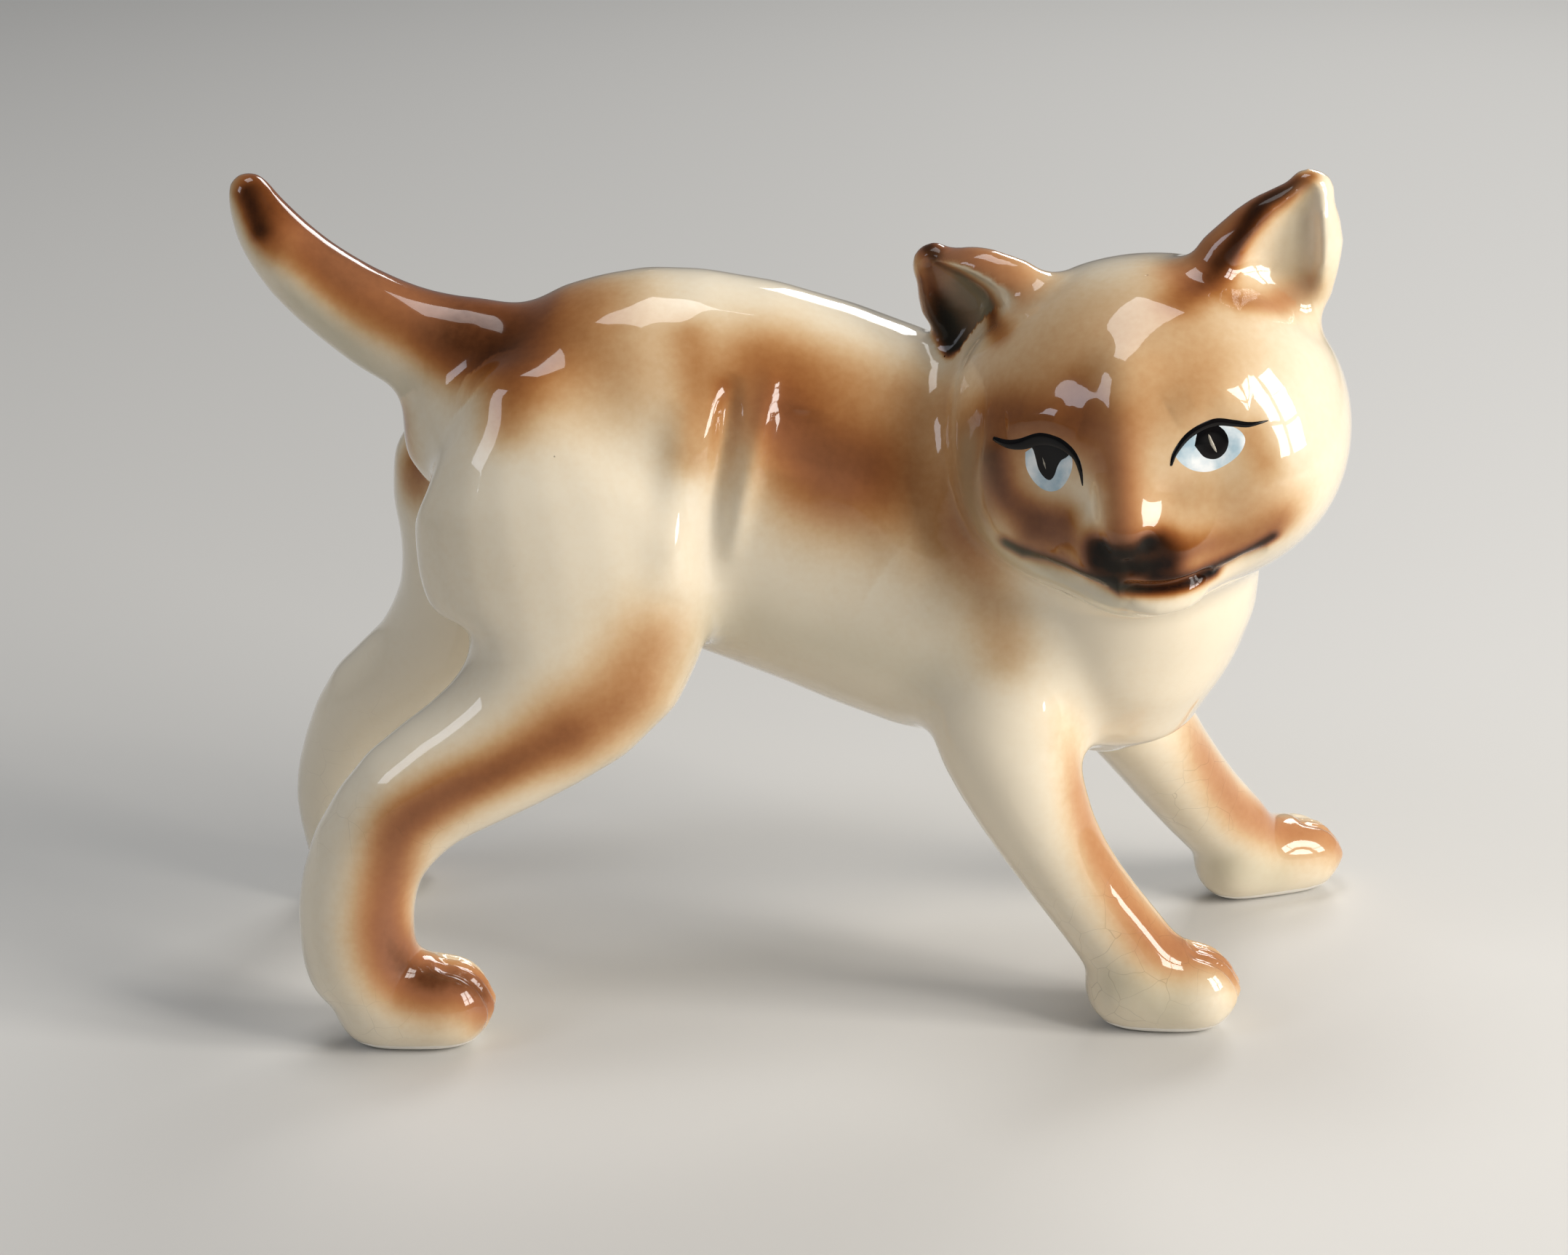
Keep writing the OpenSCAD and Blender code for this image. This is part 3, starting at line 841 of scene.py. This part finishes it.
def enamel(rows, heights):
    """A thin closed coat: rows of (left, up) places across the face, each with its own height, mm."""
    mesh = bmesh.new()
    tops, backs = [], []
    for row, lift in zip(rows, heights):
        top, back = [], []
        for (left, up), high in zip(row, lift):
            place, normal = on_glaze(left, up)
            top.append(mesh.verts.new(place + normal * high * MM))
            back.append(mesh.verts.new(place - normal * enamel_root * MM))
        tops.append(top)
        backs.append(back)
    return mesh, tops, backs


def finish_enamel(name, mesh, material):
    """Turns the coat into a piece of its own."""
    bmesh.ops.recalc_face_normals(mesh, faces=mesh.faces)
    data = bpy.data.meshes.new(name)
    mesh.to_mesh(data)
    mesh.free()
    piece = bpy.data.objects.new(name, data)
    bpy.context.collection.objects.link(piece)
    data.materials.append(material)
    data.shade_smooth()
    data.set_sharp_from_angle(angle=math.radians(50))
    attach(piece, "root")


def dab(name, outline, height, material, rings=7):
    """A filled patch of enamel inside an outline, slightly domed."""
    loop = curve([np.array(place) for place in outline + outline[:1]], 5)[:-1]
    middle = np.mean(loop, axis=0)
    rows, heights = [], []
    for ring in range(1, rings + 1):
        share = ring / rings
        rows.append([tuple(middle + (place - middle) * share) for place in loop])
        heights.append([height * (1 - share ** 6) - 0.01 * (ring == rings)] * len(loop))
    mesh, tops, backs = enamel(rows, heights)
    place, normal = on_glaze(*middle)
    crown, root = mesh.verts.new(place + normal * height * MM), mesh.verts.new(place - normal * enamel_root * MM)
    many = len(loop)
    for k in range(many):
        n = (k + 1) % many
        mesh.faces.new((crown, tops[0][k], tops[0][n]))
        mesh.faces.new((root, backs[0][n], backs[0][k]))
        for ring in range(rings - 1):
            mesh.faces.new((tops[ring][k], tops[ring + 1][k], tops[ring + 1][n], tops[ring][n]))
            mesh.faces.new((backs[ring][n], backs[ring + 1][n], backs[ring + 1][k], backs[ring][k]))
        mesh.faces.new((tops[-1][k], backs[-1][k], backs[-1][n], tops[-1][n]))
    finish_enamel(name, mesh, material)


def brush_line(name, path, halves, height, material):
    """A brush stroke of varying width."""
    path = [np.array(place, float) for place in path]
    widths = np.interp(np.linspace(0, 1, (len(path) - 1) * 6 + 1), np.linspace(0, 1, len(path)), halves)
    line = curve(path)
    rows, heights = [], []
    across_steps = (-1, -0.6, 0, 0.6, 1)
    for k, (place, half) in enumerate(zip(line, widths)):
        ahead = line[min(k + 1, len(line) - 1)] - line[max(k - 1, 0)]
        side = np.array((-ahead[1], ahead[0])) / np.linalg.norm(ahead)
        rows.append([tuple(place + side * half * step) for step in across_steps])
        heights.append([height * (1 - abs(step) ** 3) * min(1, half / 0.3) - 0.01 * (abs(step) == 1)
                        for step in across_steps])
    mesh, tops, backs = enamel(rows, heights)
    for k in range(len(rows) - 1):
        for j in range(4):
            mesh.faces.new((tops[k][j], tops[k + 1][j], tops[k + 1][j + 1], tops[k][j + 1]))
            mesh.faces.new((backs[k][j + 1], backs[k + 1][j + 1], backs[k + 1][j], backs[k][j]))
        mesh.faces.new((tops[k][0], backs[k][0], backs[k + 1][0], tops[k + 1][0]))
        mesh.faces.new((tops[k][4], tops[k + 1][4], backs[k + 1][4], backs[k][4]))
    for k in (0, -1):
        for j in range(4):
            mesh.faces.new((tops[k][j], tops[k][j + 1], backs[k][j + 1], backs[k][j]))
    finish_enamel(name, mesh, material)


def enamel_material(name, low, high):
    """Opaque enamel, with the streaks of a fine brush."""
    material, tree, shader, node = blank_material(name)
    where = node("ShaderNodeTexCoord", output="Object")
    streaks = node("ShaderNodeTexNoise", {}, {"Vector": where, "Scale": 300.0, "Detail": 4.0}, "Fac")
    colour = node("ShaderNodeValToRGB", {"stops": [(0.35, paint(low)), (0.65, paint(high))]}, {"Fac": streaks})
    tree.links.new(colour.socket, shader.inputs["Base Color"])
    tree.links.new((streaks * 0.12 + 0.16).socket, shader.inputs["Roughness"])
    bump = node("ShaderNodeBump", {}, {"Height": streaks, "Strength": 0.3, "Distance": 0.00003}, "Normal")
    tree.links.new(bump.socket, shader.inputs["Normal"])
    shader.inputs["Coat Weight"].default_value = 0.5
    shader.inputs["Coat Roughness"].default_value = 0.04
    shader.inputs["Coat IOR"].default_value = 1.4
    shader.inputs["Specular IOR Level"].default_value = 0.08
    return material


iris_blue = enamel_material("iris_pale_blue", "adc6d2", "f4f7f6")
lid_black = enamel_material("lid_black", "040405", "0d0807")
slit_tan = enamel_material("slit_light", "8c8474", "b9b4a6")

dab("left_iris", [(7.4, 1.7), (8.7, 3.3), (10.4, 4.4), (13, 4.8), (15.2, 4.2), (16.4, 3.0), (16.5, 1.7), (15.4, 0.2),
                  (13.4, -0.9), (11.3, -1.3), (9.4, -0.7), (8.1, 0.5)], 0.10, iris_blue)
dab("left_pupil", [(9.6, 2.7), (10.4, 4.3), (12.2, 5.0), (14.0, 4.3), (14.7, 2.6), (14.1, 0.8), (12.5, -0.1),
                   (10.7, 0.6)], 0.16, lid_black)
brush_line("left_slit", [(11.9, 3.8), (12.2, 2.4), (12.7, 1.0)], (0.2, 0.34, 0.16), 0.25, slit_tan)
brush_line("left_lid_line", [(6.8, 0.7), (7.6, 2.4), (9.7, 4.3), (12.8, 5.2), (15.3, 4.6), (17.2, 4.0), (19.6, 3.9)],
           (0.16, 0.36, 0.5, 0.56, 0.46, 0.36, 0.06), 0.22, lid_black)
dab("right_iris", [(-13.1, 3.9), (-13.3, 1.8), (-12.7, 0.0), (-11.6, -1.3), (-10.2, -1.8), (-8.6, -1.3), (-7.2, 0.3),
                   (-6.4, 2.0), (-6.5, 3.4), (-8.6, 4.6), (-11, 4.9)], 0.10, iris_blue)
dab("right_pupil", [(-12.0, 4.9), (-12.0, 3.2), (-11.8, 1.2), (-11.1, -0.1), (-10.2, -0.6), (-9.3, 0.1), (-8.5, 1.6),
                    (-7.7, 2.7), (-6.7, 3.4), (-7.2, 4.6), (-9.6, 5.4)], 0.16, lid_black)
brush_line("right_slit", [(-10.8, 4.2), (-10.5, 2.2), (-10.3, 0.4)], (0.12, 0.24, 0.12), 0.25, slit_tan)
brush_line("right_lid_line", [(-17.5, 5.6), (-15.5, 5.0), (-13.5, 5.0), (-10.5, 5.6), (-7.9, 5.0), (-6.0, 3.4),
                              (-5.4, 1.4), (-5.4, -0.8)], (0.3, 0.6, 0.8, 1.0, 0.85, 0.5, 0.34, 0.08), 0.22, lid_black)


# ---------------------------------------------------------------- floor and light
# The kitten stands on a plain pale floor. A tall window of six panes stands in front of it and a little to its
# right. One softbox hangs above, one fills in from the tail's end, and one beyond its left side edges its back.
bpy.ops.object.select_all(action="DESELECT")
bpy.ops.mesh.primitive_plane_add(size=30, location=(0, 0, 0))
floor = bpy.context.object
floor.name = "floor"
floor_material, _, shader, _ = blank_material("pale_floor")
shader.inputs["Base Color"].default_value = paint("cfcdc8")
shader.inputs["Roughness"].default_value = 0.6
floor.data.materials.append(floor_material)

world = bpy.data.worlds.new("studio")
world.use_nodes = True
world.node_tree.nodes["Background"].inputs["Color"].default_value = paint("b9bdc4")
world.node_tree.nodes["Background"].inputs["Strength"].default_value = 0.3
bpy.context.scene.world = world
bpy.context.scene.view_settings.view_transform = "Standard"


def softbox(name, place, aim, wide, high, power, warmth="ffffff"):
    bpy.ops.object.light_add(type="AREA", location=place)
    lamp = bpy.context.object
    lamp.name = name
    lamp.data.shape = "RECTANGLE"
    lamp.data.size, lamp.data.size_y = wide, high
    lamp.data.energy = power
    lamp.data.color = paint(warmth)[:3]
    lamp.rotation_euler = (Vector(aim) - Vector(place)).to_track_quat("-Z", "Y").to_euler()


pane_wide, pane_high = 0.17, 0.16
for column in (0, 1):
    for row in (0, 1, 2):
        softbox("window", (0.62 + 0.13 * column, -0.42 + 0.17 * column, 0.24 + 0.19 * row), (0.02, -0.02, 0.07),
                pane_wide, pane_high, 1.3, "fffaf4")
softbox("overhead", (-0.1, 0.1, 1.1), (0, 0, 0.05), 0.5, 0.4, 3.0)
softbox("left_fill", (-0.9, -0.5, 0.7), (0, 0, 0.06), 0.3, 0.4, 1.8, "eef3ff")
softbox("back_rim", (0.4, 0.9, 0.6), (0, 0, 0.08), 0.5, 0.3, 3.5)
